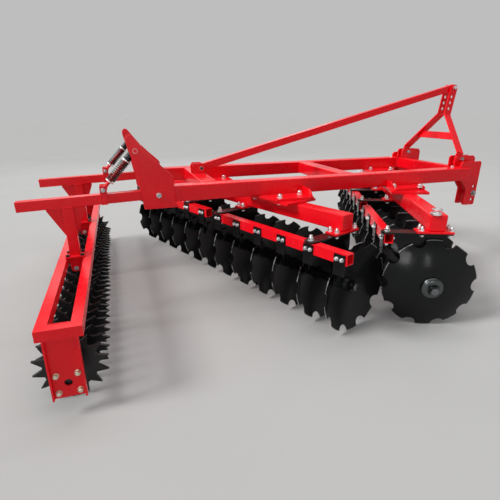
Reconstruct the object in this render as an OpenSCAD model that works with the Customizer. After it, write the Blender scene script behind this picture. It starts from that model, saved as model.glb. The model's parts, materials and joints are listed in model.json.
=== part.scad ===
/* [Main frame] */
// Height of the top of the main beams above the floor
beam_top = 845; // [800:1:900]
// Width and height of a main beam
beam_size = 100; // [90:1:110]
// Distance of each main beam's middle from the machine's middle
beam_y = 409; // [390:1:430]
// Front end of the main beams
beam_front = 2352; // [2300:1:2400]
// Width of the rear and the middle cross tube along the machine
cross_width = 105; // [80:1:110]
// Width of the front cross tube along the machine
front_cross_width = 60; // [50:1:70]
// Rear face of the rear cross tube
rear_cross_x = 220; // [200:1:260]
// Rear face of the middle cross tube
mid_cross_x = 1248; // [1200:1:1300]

/* [Gangs] */
// Outside diameter of a disc
disc_diameter = 560; // [540:1:570]
// Depth of a disc's dish
dish_depth = 66; // [50:1:75]
// Thickness of a disc
disc_thickness = 5; // [4:0.5:6]
// Distance between neighbouring discs of a gang
disc_pitch = 217; // [215:1:222]
// Angle of the front gang to the cross direction
front_angle = 23.5; // [22:0.1:25]
// Angle of the rear gang to the cross direction
rear_angle = 21.3; // [20:0.1:23]
// Place where the front gang's line crosses the machine's middle
front_gang_x = 1937; // [1930:1:1960]
// Place where the rear gang's line crosses the machine's middle
rear_gang_x = 573; // [550:1:580]
// First disc of the front gang along its line
front_first = -1314; // [-1330:1:-1310]
// First disc of the rear gang along its line
rear_first = -1071; // [-1085:1:-1065]
// Width and height of a gang beam
gang_beam = 98; // [90:1:102]
// Thickness of the plates between a main beam and a gang beam
clamp_thickness = 16; // [12:1:18]
// Radius of the gang shafts
shaft_r = 22; // [20:0.5:24]

/* [Scrapers] */
// Width of a scraper bar along the machine
bar_width = 54; // [40:1:58]
// Height of a scraper bar
bar_height = 62; // [55:1:66]
// Distance of a scraper bar's rear face behind the gang's line
bar_back = 292; // [286:1:300]

/* [Mast and hitch] */
// Radius of the lower link holes
lower_link_r = 14.5; // [14.3:0.1:15]
// Radius of the top link holes
top_link_r = 13; // [12.8:0.1:13.5]
// Thickness of the mast's flat bars
mast_thickness = 12; // [10:1:14]
// Clear distance between the two mast plates
mast_gap = 60; // [56:1:64]
// Width of the mast's flat bars
mast_width = 66; // [60:1:70]
// Size of the square brace tube
brace_size = 50; // [45:1:54]

/* [Roller] */
// Radius over the tips of the star wheels
star_r = 170; // [160:1:170]
// Teeth of a star wheel
star_teeth = 14; // [12:1:16]
// Number of star wheels
star_count = 23; // [20:1:24]
// Place of the roller's axis along the machine
roller_x = -594; // [-610:1:-580]
// Half the length of the roller frame
roller_half = 1325; // [1300:1:1350]
// Height of the top of the roller rails
rail_top = 447; // [440:1:455]
// Size of the square roller arms
arm_size = 58; // [54:1:60]
// Slope of the roller arms
arm_slope = 1.8; // [1:0.1:2.5]

/* [Hidden] */
$fn = 48;
beam_bottom = beam_top - beam_size;
beam_in = beam_y - beam_size / 2;
beam_out = beam_y + beam_size / 2;
beam_rear = -22;
gang_top = beam_bottom - 2 * clamp_thickness - 0.3;
gang_bottom = gang_top - gang_beam;
disc_r = disc_diameter / 2;
notch_r = 42;
notch_place = disc_r + 6;
notch_half = acos((disc_r * disc_r + notch_place * notch_place - notch_r * notch_r) / (2 * disc_r * notch_place));
axle_z = disc_r;
dish_r = (disc_r * disc_r + dish_depth * dish_depth) / (2 * dish_depth);
clamp_bolt_n = 92;
clamp_bolt_s = 124;
foot_thickness = 12;
flange_thickness = 10;
flange_top = gang_bottom - foot_thickness;
bar_top = flange_top - flange_thickness;
bar_bottom = bar_top - bar_height;
section_discs = 6;
nut_half = 25;
side_plate = 10;
pivot_x = -70;
pivot_z = 798;
swivel_x = -184;
swivel_z = 1064;
strap_x = -387;
strap_z = 843;
rod_angle = atan2(swivel_z - strap_z, swivel_x - strap_x);
rod_length = sqrt((swivel_z - strap_z) * (swivel_z - strap_z) + (swivel_x - strap_x) * (swivel_x - strap_x));
mast_bend_x = 2437;
mast_bend_z = 1240;
mast_lean = 8.1;
mast_top_length = 236;
mast_tip = 20;
brace_pin_drop = 23;
leg_foot_x = 2345;
leg_foot_y = 321;
leg_foot_z = 903;
leg_knee_x = 2357;
leg_knee_z = 948;
mast_y = mast_gap / 2 + mast_thickness / 2;
brace_low_x = 285;
brace_low_z = 888;
brace_top_x = mast_bend_x + (mast_top_length - brace_pin_drop) * sin(mast_lean);
brace_top_z = mast_bend_z + (mast_top_length - brace_pin_drop) * cos(mast_lean);
brace_angle = atan2(brace_top_z - brace_low_z, brace_top_x - brace_low_x);
brace_length = sqrt(pow(brace_top_x - brace_low_x, 2) + pow(brace_top_z - brace_low_z, 2));
star_z = star_r;
rail_size = 50;
rail_width = 48;
roller_width = 188;
channel_depth = 28;
// The frame's origin lies midway between the last front disc's rim and the rear ends of the roller arms
arm_length = 794;
machine_front = front_gang_x + (front_first + 11 * disc_pitch + dish_depth) * sin(front_angle)
    + disc_r * cos(notch_half) * cos(front_angle);
machine_rear = pivot_x - arm_length * cos(arm_slope) - arm_size / 2 * sin(arm_slope);
origin_x = (machine_front + machine_rear) / 2;
red = [0.8, 0.04, 0.07];
black = [0.07, 0.07, 0.08];
zinc = [0.75, 0.76, 0.78];

// Puts the machine's own place on the frame's origin
module place() {
    translate([-origin_x, 0, 0])
        children();
}

// Puts a gang's line, which is its own Y axis, at its angle
module front_gang() {
    translate([front_gang_x, 0, 0])
        rotate([0, 0, -front_angle])
            children();
}

module rear_gang() {
    translate([rear_gang_x, 0, 0])
        rotate([0, 0, rear_angle])
            children();
}

// A box from its low corner to its high corner
module box(low, high) {
    translate(low)
        cube(high - low);
}

// A plate drawn as X and Z points, from Y = y to Y = y + thickness
module side_sheet(points, y, thickness) {
    translate([0, y + thickness, 0])
        rotate([90, 0, 0])
            linear_extrude(height = thickness)
                polygon(points);
}

// A pin or hole along Y
module y_cylinder(x, y, z, radius, length) {
    translate([x, y, z])
        rotate([-90, 0, 0])
            cylinder(r = radius, h = length);
}

// The main beam of the right side, mirrored for the left
module main_beam() {
    difference() {
        box([beam_rear, -beam_out, beam_bottom], [beam_front, -beam_in, beam_top]);
        box([beam_front - 71, link_outer_y, beam_bottom - 1],
            [beam_front + 1, link_outer_y + link_plate, beam_top + 1]);
    }
}

module frame_beam_right() {
    color(red)
        place()
            main_beam();
}

module frame_beam_left() {
    color(red)
        place()
            mirror([0, 1, 0])
                main_beam();
}

module cross_tube(x, width) {
    color(red)
        place()
            box([x, -beam_in, beam_bottom + 4], [x + width, beam_in, beam_top]);
}

module rear_cross_tube() {
    cross_tube(rear_cross_x, cross_width);
}

module middle_cross_tube() {
    cross_tube(mid_cross_x, cross_width);
}

module front_cross_tube() {
    cross_tube(beam_front - front_cross_width, front_cross_width);
}

// The lower link holes, and the plates' places outside and inside the beam
link_x = 2447;
link_holes = [688, 634, 580];
link_plate = 16;
inner_plate = 14;
link_outer_y = -beam_out + 27;
link_inner_y = -beam_in;
lug_y = -302;

// Outer link plate in the beam's slot, inner link plate on the beam's inside, and the mast lug
module link_plates() {
    outer = [[beam_front - 53, beam_top + 45], [beam_front - 69, beam_top + 29],
        [beam_front - 71, beam_top - 3], [beam_front - 71, beam_top - 55],
        [beam_front - 38, beam_top - 111], [link_x - 81, beam_top - 175],
        [link_x - 84, link_holes[2] - 32], [link_x - 76, link_holes[2] - 40],
        [link_x + 19, link_holes[2] - 42], [link_x + 27, link_holes[2] - 34], [link_x + 35, beam_top + 31],
        [link_x + 23, beam_top + 44]];
    inner = [[beam_front - 52, beam_top + 82], [beam_front - 67, beam_top + 67],
        [beam_front - 67, beam_top - 85], [beam_front - 38, beam_top - 111], [link_x - 81, beam_top - 175],
        [link_x - 84, link_holes[2] - 32], [link_x - 76, link_holes[2] - 40],
        [link_x + 19, link_holes[2] - 42], [link_x + 27, link_holes[2] - 34], [link_x + 39, beam_top + 60],
        [link_x + 19, beam_top + 82]];
    lug = [[beam_front - 52, beam_top + 82], [beam_front - 67, beam_top + 67], [beam_front - 67, beam_top],
        [beam_front, beam_top], [beam_front, beam_top - 108], [link_x - 7, beam_top - 108],
        [link_x + 37, beam_top - 55], [link_x + 39, beam_top + 60], [link_x + 19, beam_top + 82]];
    difference() {
        side_sheet(outer, link_outer_y, link_plate);
        for (z = link_holes)
            y_cylinder(link_x, link_outer_y - 5, z, lower_link_r, 30);
    }
    difference() {
        side_sheet(inner, link_inner_y, inner_plate);
        for (z = link_holes)
            y_cylinder(link_x, link_inner_y - 5, z, lower_link_r, 30);
        y_cylinder(leg_foot_x, link_inner_y - 5, leg_foot_z, 12, 30);
        box([beam_front - 100, link_inner_y - 1, beam_bottom + 4], [beam_front,
            link_inner_y + inner_plate + 1, beam_top]);
    }
    difference() {
        side_sheet(lug, lug_y, inner_plate);
        y_cylinder(leg_foot_x, lug_y - 8, leg_foot_z, 12, 30);
    }
}

module link_plates_right() {
    color(red)
        place()
            link_plates();
}

module link_plates_left() {
    color(red)
        place()
            mirror([0, 1, 0])
                link_plates();
}

// Upright part with its row of holes, the leg that spreads from it, and the foot in its lug
leg_run = [leg_knee_x - mast_bend_x, leg_foot_y - mast_y, leg_knee_z - mast_bend_z];
leg_a = asin(leg_run[1] / norm(leg_run));
leg_b = asin(-leg_run[0] / norm(leg_run) / cos(leg_a));
module mast_plate() {
    difference() {
        union() {
            translate([mast_bend_x, -mast_y, mast_bend_z])
                rotate([0, mast_lean, 0]) {
                    translate([-mast_width / 2, -mast_thickness / 2, -8])
                        cube([mast_width, mast_thickness, mast_top_length - mast_tip + 8]);
                    translate([14 - mast_width / 2, -mast_thickness / 2, mast_top_length - 2 * mast_tip])
                        cube([mast_width - 28, mast_thickness, 2 * mast_tip]);
                }
            translate([mast_bend_x, -mast_y, mast_bend_z])
                rotate([-leg_a, leg_b, 0])
                    translate([-mast_width / 2, -mast_thickness / 2, -norm(leg_run) - 3])
                        cube([mast_width, mast_thickness, norm(leg_run) + 2]);
            side_sheet([[leg_knee_x - mast_width / 2, leg_knee_z], [leg_knee_x + mast_width / 2, leg_knee_z],
                [leg_foot_x + mast_width / 2 - 10, leg_foot_z - 34], [leg_foot_x - mast_width / 2 - 10,
                leg_foot_z - 34]], -leg_foot_y - mast_thickness / 2, mast_thickness);
        }
        for (h = [46, 93, 141])
            translate([mast_bend_x, -mast_y, mast_bend_z])
                rotate([0, mast_lean, 0])
                    y_cylinder(0, -20, h, top_link_r, 40);
        y_cylinder(brace_top_x, -60, brace_top_z, 12, 60);
        y_cylinder(leg_foot_x, -345, leg_foot_z, 12, 60);
    }
}

module mast_plate_right() {
    color(red)
        place()
            mast_plate();
}

module mast_plate_left() {
    color(red)
        place()
            mirror([0, 1, 0])
                mast_plate();
}

// Flat bar between the legs and the small plate at the bend
module mast_crossbar() {
    inner = mast_y - mast_thickness / 2 / cos(leg_a);
    high = 149;
    low = 207;
    color(red)
        place() {
            translate([mast_bend_x, 0, mast_bend_z])
                rotate([0, leg_b, 0])
                    rotate([90, 0, 90])
                        linear_extrude(height = 12, center = true)
                            polygon([[-inner - low * tan(leg_a), -low], [inner + low * tan(leg_a), -low],
                                [inner + high * tan(leg_a), -high], [-inner - high * tan(leg_a), -high]]);
            box([mast_bend_x - 29, -mast_gap / 2, mast_bend_z - 7], [mast_bend_x + 29, mast_gap / 2,
                mast_bend_z + 3]);
        }
}

// The bolts of the legs and of the brace's two ends
module mast_pins() {
    color(zinc)
        place() {
            for (side = [-1, 1])
                y_cylinder(leg_foot_x, side * leg_foot_y - 42, leg_foot_z, 12, 84);
            y_cylinder(brace_top_x, -56, brace_top_z, 12, 112);
            y_cylinder(brace_low_x, -54, brace_low_z, 12, 108);
        }
}

module top_brace() {
    color(red)
        place()
            difference() {
                translate([brace_low_x, 0, brace_low_z])
                    rotate([0, -brace_angle, 0])
                        translate([-30, -brace_size / 2, -brace_size / 2])
                            cube([brace_length + 48, brace_size, brace_size]);
                y_cylinder(brace_top_x, -60, brace_top_z, 12, 120);
                y_cylinder(brace_low_x, -60, brace_low_z, 12, 120);
                box([200, -60, beam_top - 40], [400, 60, beam_top + 2]);
            }
}

// Two ears on the rear cross tube
module brace_lug() {
    ear = [[222, beam_top], [218, 905], [232, 924], [292, 924], [312, 905], [323, beam_top]];
    color(red)
        place()
            for (y = [-brace_size / 2 - 14, brace_size / 2 + 2])
                difference() {
                    side_sheet(ear, y, 12);
                    y_cylinder(brace_low_x, y - 5, brace_low_z, 12, 30);
                }
}

// Lower plate square to the gang, upper plate along the main beam, and its gusset outside the beam
module clamp_pair(angle, s, slant, reach, gusset) {
    z_up = beam_bottom - clamp_thickness;
    difference() {
        translate([0, s, z_up])
            rotate([0, 0, -angle])
                linear_extrude(height = clamp_thickness)
                    polygon([[-77 * slant, -reach], [183 * slant, -reach], [183 * slant, -30],
                        [77 * slant, reach], [-183 * slant, reach], [-183 * slant, 30]]);
        clamp_holes(s, z_up);
    }
    difference() {
        translate([-132, s - 236, gang_top])
            cube([262, 472, clamp_thickness]);
        clamp_holes(s, gang_top);
    }
    translate([0, s, beam_bottom])
        rotate([0, 0, s > 0 ? 180 - angle : -angle])
            translate([171 * slant - 5, -beam_size / 2, 0])
                rotate([90, 0, 90])
                    linear_extrude(height = 10)
                        polygon([[0, 0], [0, 46], [38 - gusset, 46], [-gusset, 10], [-gusset, 0]]);
}

module clamp_holes(s, z) {
    for (n = [-clamp_bolt_n, clamp_bolt_n])
        for (t = [-clamp_bolt_s, clamp_bolt_s])
            translate([n, s + t, z - 5])
                cylinder(r = 11, h = 40);
}

// The distance along a gang's line to a main beam
function crossing(angle, side) = side * beam_y / cos(angle);

module clamp_plates_front() {
    color(red)
        place()
            front_gang()
                for (side = [-1, 1])
                    clamp_pair(-front_angle, crossing(front_angle, side), -1, 160, 74);
}

module clamp_plates_rear() {
    color(red)
        place()
            rear_gang()
                for (side = [-1, 1])
                    clamp_pair(rear_angle, crossing(rear_angle, side), 1, 194, 140);
}

// Where the hangers stand after the first disc of each pair
front_hanger = 80;
rear_hanger = 63;
function hanger_places(first, offset) = [for (k = [0, 4, 6, 10]) first + k * disc_pitch + offset];

module gang_beam(first, offset) {
    s = hanger_places(first, offset);
    box([-gang_beam / 2, s[0] - 38, gang_bottom], [gang_beam / 2, s[3] + 38, gang_top]);
}

module gang_beam_front() {
    color(red)
        place()
            front_gang()
                gang_beam(front_first, front_hanger);
}

module gang_beam_rear() {
    color(red)
        place()
            rear_gang()
                gang_beam(rear_first, rear_hanger);
}

module foot_plate(s) {
    translate([-114, s - 50, gang_bottom - foot_thickness])
        cube([208, 84, foot_thickness]);
}

module foot_plates_front() {
    color(red)
        place()
            front_gang()
                for (s = hanger_places(front_first, front_hanger))
                    foot_plate(s);
}

module foot_plates_rear() {
    color(red)
        place()
            rear_gang()
                for (s = hanger_places(rear_first, rear_hanger))
                    foot_plate(s);
}

// Flange with its rounded end over the scraper bar, web and bearing housing of one hanger at s
flange_half = 39;
module hanger(s) {
    web_back = -bar_back + bar_width + 6;
    web = [[web_back, bar_top], [76, bar_top], [76, 490], [62, 400], [52, 320], [52, 262], [-52, 262],
        [-56, 310], [-84, 390], [-140, 455], [-200, 505], [web_back, 550]];
    translate([flange_half - bar_back - 18, s - flange_half, bar_top])
        cube([bar_back + 18 - flange_half + 94, 2 * flange_half, flange_thickness]);
    translate([flange_half - bar_back - 18, s, bar_top])
        cylinder(r = flange_half, h = flange_thickness);
    difference() {
        union() {
            side_sheet(web, s - 6, 12);
            y_cylinder(0, s - 30, axle_z, 56, 60);
        }
        y_cylinder(0, s - 40, axle_z, shaft_r + 6.05, 80);
    }
}

module hangers_front() {
    color(black)
        place()
            front_gang()
                for (s = hanger_places(front_first, front_hanger))
                    hanger(s);
}

module hangers_rear() {
    color(black)
        place()
            rear_gang()
                for (s = hanger_places(rear_first, rear_hanger))
                    hanger(s);
}

// A hollow bar from one end to the other, open at both
module scraper_bar(from, to) {
    difference() {
        box([-bar_back, from, bar_bottom], [-bar_back + bar_width, to, bar_top]);
        box([-bar_back + 5, from - 1, bar_bottom + 5], [-bar_back + bar_width - 5, to + 1, bar_top - 5]);
    }
}

// Where the scraper brackets stand from their discs
front_scraper = 96;
rear_scraper = -155;

module scraper_bars_front() {
    s = front_first + front_scraper;
    color(red)
        place()
            front_gang() {
                scraper_bar(s - 40, s + 3 * disc_pitch + 50);
                scraper_bar(s + 4 * disc_pitch - 56, s + 11 * disc_pitch + 44);
            }
}

module scraper_bars_rear() {
    s = rear_first + rear_scraper;
    color(red)
        place()
            rear_gang() {
                scraper_bar(s - 46, s + 5 * disc_pitch + 44);
                scraper_bar(s + 6 * disc_pitch - 62, s + 11 * disc_pitch + 44);
            }
}

// Bracket behind the bar, stem and blade; the dish of the disc at s opens towards -Y
blade_n = -165;
blade_z = 105;
blade_gap = 8;
bracket_low = 468;
stem = [36, 8];
stem_shift = 19;
stem_low = 28;
module scraper(s, away) {
    blade_r = sqrt(blade_n * blade_n + blade_z * blade_z);
    blade_c = sqrt(dish_r * dish_r - blade_r * blade_r);
    run = [blade_n + bar_back + 3, away + stem_shift - (dish_r - blade_c) - blade_gap - 5.5 - stem[1] / 2,
        axle_z + blade_z - bracket_low - stem_low];
    translate([-bar_back - 6, s - away - 36, bracket_low])
        cube([6, 72, bar_top - 8 - bracket_low]);
    translate([-bar_back - 3, s - away - stem_shift, bracket_low + stem_low])
        rotate([0, acos(run[2] / norm(run)), atan2(run[1], run[0])])
            translate([-stem[0] / 2, -stem[1] / 2, 0])
                cube([stem[0], stem[1], norm(run)]);
    translate([blade_n, s - dish_r + blade_c, axle_z + blade_z])
        rotate([asin(blade_z / dish_r), 0, atan2(-blade_n, blade_c)])
            translate([-32, -blade_gap - 6, -44])
                cube([64, 6, 88]);
}

module scrapers_front() {
    color(black)
        place()
            front_gang()
                for (k = [0:11])
                    mirror([0, 1, 0])
                        scraper(-front_first - k * disc_pitch, front_scraper);
}

module scrapers_rear() {
    color(black)
        place()
            rear_gang()
                for (k = [0:11])
                    scraper(rear_first + k * disc_pitch, -rear_scraper);
}

// A notched dish on the Y axis at s, opening towards +Y
module disc(s) {
    translate([0, s, axle_z])
        rotate([-90, 0, 0])
            intersection() {
                translate([0, 0, dish_r])
                    difference() {
                        sphere(r = dish_r + disc_thickness);
                        sphere(r = dish_r);
                    }
                translate([0, 0, -disc_thickness - 2])
                    linear_extrude(height = dish_depth + disc_thickness + 6)
                        difference() {
                            circle(r = disc_r);
                            circle(r = shaft_r + 0.3);
                            for (k = [0:9])
                                rotate(k * 36)
                                    translate([notch_place, 0])
                                        circle(r = notch_r);
                        }
            }
}

module front_discs(from) {
    color(black)
        place()
            front_gang()
                for (k = [from:from + section_discs - 1])
                    disc(front_first + k * disc_pitch);
}

module rear_discs(from) {
    color(black)
        place()
            rear_gang()
                for (k = [from:from + section_discs - 1])
                    mirror([0, 1, 0])
                        disc(-rear_first - k * disc_pitch);
}

module discs_front_right() {
    front_discs(0);
}

module discs_front_left() {
    front_discs(6);
}

module discs_rear_right() {
    rear_discs(0);
}

module discs_rear_left() {
    rear_discs(6);
}

// Shaft, spools, end washers and nuts of one section; the dishes open towards +Y
module axle(first) {
    last = first + (section_discs - 1) * disc_pitch;
    t = disc_thickness;
    seat = 2.2;
    y_cylinder(0, first - t - 62, axle_z, shaft_r, last - first + t + 130);
    translate([0, first - t - 20, axle_z])
        rotate([-90, 0, 0])
            cylinder(r1 = 42, r2 = 63, h = 20);
    translate([0, last + seat, axle_z])
        rotate([-90, 0, 0])
            cylinder(r1 = 46, r2 = 36, h = 20);
    for (s = [first - t - 50, last + 18])
        translate([-nut_half, s, axle_z - nut_half])
            cube([2 * nut_half, 32, 2 * nut_half]);
    for (k = [0:section_discs - 2]) {
        s = first + k * disc_pitch;
        y_cylinder(0, s + seat, axle_z, 46, 12);
        y_cylinder(0, s + disc_pitch - t - 12, axle_z, 46, 12);
        y_cylinder(0, s + seat, axle_z, k == 0 || k == 4 ? shaft_r + 6 : 34, disc_pitch - t - seat);
    }
}

module axle_front_right() {
    color(black)
        place()
            front_gang()
                axle(front_first);
}

module axle_front_left() {
    color(black)
        place()
            front_gang()
                axle(front_first + 6 * disc_pitch);
}

module axle_rear_right() {
    color(black)
        place()
            rear_gang()
                mirror([0, 1, 0])
                    axle(-rear_first - 5 * disc_pitch);
}

module axle_rear_left() {
    color(black)
        place()
            rear_gang()
                mirror([0, 1, 0])
                    axle(-rear_first - 11 * disc_pitch);
}

// Two plates beside the rear end of a main beam
module side_plates() {
    outline = [[pivot_x - 90, pivot_z - 84], [pivot_x + 120, pivot_z - 84], [pivot_x + 97, pivot_z - 53],
        [pivot_x + 99, pivot_z + 105], [pivot_x + 43, pivot_z + 157], [pivot_x - 39, pivot_z + 240],
        [swivel_x - 6, swivel_z + 82], [swivel_x - 22, swivel_z + 90], [swivel_x - 38, swivel_z + 84],
        [swivel_x - 47, swivel_z + 68], [swivel_x - 48, swivel_z + 51], [pivot_x - 139, pivot_z + 224],
        [pivot_x - 95, pivot_z - 16]];
    for (y = [-beam_out - side_plate, -beam_in])
        difference() {
            side_sheet(outline, y, side_plate);
            y_cylinder(pivot_x, y - 5, pivot_z, 15, 30);
            y_cylinder(swivel_x, y - 5, swivel_z, 14, 30);
        }
}

module side_plates_right() {
    color(red)
        place()
            side_plates();
}

module side_plates_left() {
    color(red)
        place()
            mirror([0, 1, 0])
                side_plates();
}

// Square arms on their pivots, with a cross sleeve at the front end
module roller_arms() {
    color(red)
        place()
            for (side = [-1, 1])
                difference() {
                    union() {
                        translate([pivot_x, side * beam_y, pivot_z])
                            rotate([0, -arm_slope, 0])
                                translate([-arm_length, -arm_size / 2, -arm_size / 2])
                                    cube([arm_length + 32, arm_size, arm_size]);
                        y_cylinder(pivot_x, side * beam_y - beam_size / 2 + 1, pivot_z, 26, beam_size - 2);
                    }
                    y_cylinder(pivot_x, side * beam_y - 80, pivot_z, 15, 160);
                }
}

// Pivot bolts and swivel pins
module arm_pins() {
    color(zinc)
        place()
            for (side = [-1, 1]) {
                y_cylinder(pivot_x, side * beam_y - 78, pivot_z, 15, 156);
                difference() {
                    union() {
                        y_cylinder(swivel_x, side * beam_y - 66, swivel_z, 14, 132);
                        y_cylinder(swivel_x, side * beam_y - 26, swivel_z, 24, 52);
                    }
                    translate([swivel_x, side * beam_y, swivel_z])
                        rotate([0, 90 - rod_angle, 0])
                            translate([0, 0, -60])
                                cylinder(r = 11.5, h = 120);
                }
            }
}

// Straps round the arms that hold the rods' lower ends
strap_width = 38;
strap_thickness = 8;
strap_length = 113;
strap_top = 26;
module arm_straps() {
    color(red)
        place()
            for (side = [-1, 1])
                for (y = [-arm_size / 2 - strap_thickness, arm_size / 2])
                    difference() {
                        translate([strap_x - strap_width / 2, side * beam_y + y,
                            strap_z + strap_top - strap_length])
                            cube([strap_width, strap_thickness, strap_length]);
                        y_cylinder(strap_x, side * beam_y + y - 5, strap_z, 10, 20);
                    }
}

// Rod with its flattened eye, through the swivel
module spring_rods() {
    color(red)
        place()
            for (side = [-1, 1]) {
                difference() {
                    translate([strap_x, side * beam_y, strap_z])
                        rotate([0, 90 - rod_angle, 0]) {
                            cylinder(r = 11, h = rod_length + 44);
                            translate([-16, -arm_size / 2, -14])
                                cube([32, arm_size, 34]);
                        }
                    y_cylinder(strap_x, side * beam_y - 50, strap_z, 10, 100);
                }
                y_cylinder(strap_x, side * beam_y - arm_size / 2 - 12, strap_z, 10, arm_size + 24);
            }
}

spring_start = 66;
spring_length = 150;
spring_r = 21;
wire_r = 4;
spring_turns = 11;
spring_steps = 12;

// One turned wire as a closed skin of rings
module coil() {
    n = spring_turns * spring_steps;
    m = 6;
    points = [for (i = [0:n]) for (j = [0:m - 1])
        let (a = 360 * i / spring_steps, b = 360 * j / m, r = spring_r + wire_r * cos(b))
            [r * cos(a), r * sin(a), wire_r + (spring_length - 2 * wire_r) * i / n + wire_r * sin(b)]];
    sides = [for (i = [0:n - 1]) for (j = [0:m - 1])
        [i * m + j, i * m + (j + 1) % m, (i + 1) * m + (j + 1) % m, (i + 1) * m + j]];
    ends = [[for (j = [0:m - 1]) m - 1 - j], [for (j = [0:m - 1]) n * m + j]];
    polyhedron(points = points, faces = concat(sides, ends), convexity = 10);
}

module springs() {
    color(black)
        place()
            for (side = [-1, 1])
                translate([strap_x, side * beam_y, strap_z])
                    rotate([0, 90 - rod_angle, 0])
                        translate([0, 0, spring_start])
                            coil();
}

// Washers under and over each spring, and the rod's end nuts
module spring_seats() {
    color(zinc)
        place()
            for (side = [-1, 1])
                translate([strap_x, side * beam_y, strap_z])
                    rotate([0, 90 - rod_angle, 0])
                        difference() {
                            union() {
                                translate([0, 0, spring_start - 8])
                                    cylinder(r = 27, h = 8);
                                translate([0, 0, spring_start + spring_length])
                                    cylinder(r = 27, h = 8);
                                translate([0, 0, spring_start + spring_length + 8])
                                    cylinder(r = 22, h = rod_length - spring_start - spring_length - 36);
                                translate([0, 0, rod_length + 26])
                                    cylinder(r = 18, h = 14);
                            }
                            translate([0, 0, spring_start - 20])
                                cylinder(r = 11, h = rod_length);
                        }
}

arm_z = pivot_z + (roller_x - pivot_x) * tan(arm_slope);
post_top = arm_z - arm_size / 2;

// Post with two gussets, foot plate on the rails, and the lug between them
module roller_posts() {
    color(red)
        place()
            for (side = [-1, 1])
                translate([0, side * beam_y, 0]) {
                    difference() {
                        union() {
                            box([roller_x - 29, -29, rail_top + 10], [roller_x + 29, 29, post_top + 5]);
                            side_sheet([[roller_x - 29, 570], [roller_x + 29, 570], [roller_x + 94, 735],
                                [roller_x + 94, post_top + 6], [roller_x - 120, post_top + 6],
                                [roller_x - 120, 735]], -5, 10);
                        }
                        translate([pivot_x, 0, pivot_z])
                            rotate([0, -arm_slope, 0])
                                translate([-900, -60, -arm_size / 2])
                                    cube([1000, 120, 100]);
                    }
                    box([roller_x - 53, -50, rail_top], [roller_x + 53, 50, rail_top + 10]);
                    difference() {
                        side_sheet([[roller_x - 45, rail_top], [roller_x - 34, 356], [roller_x - 24, 344],
                            [roller_x + 12, 344], [roller_x + 22, 356], [roller_x + 45, rail_top]], -6, 12);
                        y_cylinder(roller_x - 6, -20, 368, 8, 40);
                    }
                }
}

// Two rails, end tubes and the channels that carry the bearings
module roller_frame() {
    half = roller_width / 2;
    color(red)
        place() {
            for (side = [-1, 1])
                translate([roller_x + side * (half - rail_width / 2) - rail_width / 2, -roller_half + rail_size,
                    rail_top - rail_size])
                    cube([rail_width, 2 * (roller_half - rail_size), rail_size]);
            for (side = [0, 1])
                mirror([0, side, 0]) {
                    box([roller_x - half, -roller_half, rail_top - rail_size], [roller_x + half,
                        -roller_half + rail_size, rail_top]);
                    difference() {
                        box([roller_x - 71, -roller_half, 98], [roller_x + 71, -roller_half + channel_depth,
                            rail_top - rail_size]);
                        box([roller_x - 63, -roller_half - 1, 90], [roller_x + 63, -roller_half + channel_depth - 8,
                            rail_top - rail_size]);
                        y_cylinder(roller_x, -roller_half - 5, star_z, 17, 60);
                        for (a = [-1, 1])
                            for (b = [-1, 1])
                                y_cylinder(roller_x + a * 44, -roller_half - 5, star_z + b * 44, 7, 60);
                    }
                }
        }
}

// Flanged bearing housings on the inside of the channels
module roller_bearings() {
    color(black)
        place()
            for (side = [0, 1])
                mirror([0, side, 0])
                    difference() {
                        union() {
                            box([roller_x - 60, -roller_half + channel_depth, star_z - 60], [roller_x + 60,
                                -roller_half + channel_depth + 16, star_z + 60]);
                            y_cylinder(roller_x, -roller_half + channel_depth + 16, star_z, 42, 26);
                        }
                        y_cylinder(roller_x, -roller_half + channel_depth - 4, star_z, 17.55, 60);
                    }
}

// Tube with star wheels, each turned a fifth of a tooth on from its neighbour
module star_roller() {
    first = -roller_half + 152;
    step = -2 * first / (star_count - 1);
    tooth = 360 / star_teeth;
    color(black)
        place()
            translate([roller_x, 0, star_z])
                rotate([-90, 0, 0]) {
                    translate([0, 0, -roller_half + 90])
                        cylinder(r = 30, h = 2 * roller_half - 180);
                    translate([0, 0, -roller_half + channel_depth + 6])
                        cylinder(r = 17.5, h = 2 * roller_half - 2 * channel_depth - 12);
                    for (i = [0:star_count - 1])
                        translate([0, 0, first + i * step]) {
                            translate([0, 0, -24])
                                cylinder(r = 46, h = 48);
                            rotate(90 + (i + 1) * tooth / 5)
                                translate([0, 0, -8])
                                    linear_extrude(height = 16)
                                        polygon([for (k = [0:star_teeth - 1]) each [
                                            [star_r * cos(k * tooth), star_r * sin(k * tooth)],
                                            [122 * cos((k + 0.36) * tooth), 122 * sin((k + 0.36) * tooth)],
                                            [122 * cos((k + 0.64) * tooth), 122 * sin((k + 0.64) * tooth)]]]);
                        }
                }
}

frame_beam_right();
frame_beam_left();
rear_cross_tube();
middle_cross_tube();
front_cross_tube();
link_plates_right();
link_plates_left();
mast_plate_right();
mast_plate_left();
mast_crossbar();
mast_pins();
top_brace();
brace_lug();
clamp_plates_front();
clamp_plates_rear();
gang_beam_front();
gang_beam_rear();
foot_plates_front();
foot_plates_rear();
hangers_front();
hangers_rear();
scraper_bars_front();
scraper_bars_rear();
scrapers_front();
scrapers_rear();
discs_front_right();
discs_front_left();
discs_rear_right();
discs_rear_left();
axle_front_right();
axle_front_left();
axle_rear_right();
axle_rear_left();
side_plates_right();
side_plates_left();
roller_arms();
arm_pins();
arm_straps();
spring_rods();
springs();
spring_seats();
roller_posts();
roller_frame();
roller_bearings();
star_roller();
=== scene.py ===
import json

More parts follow.
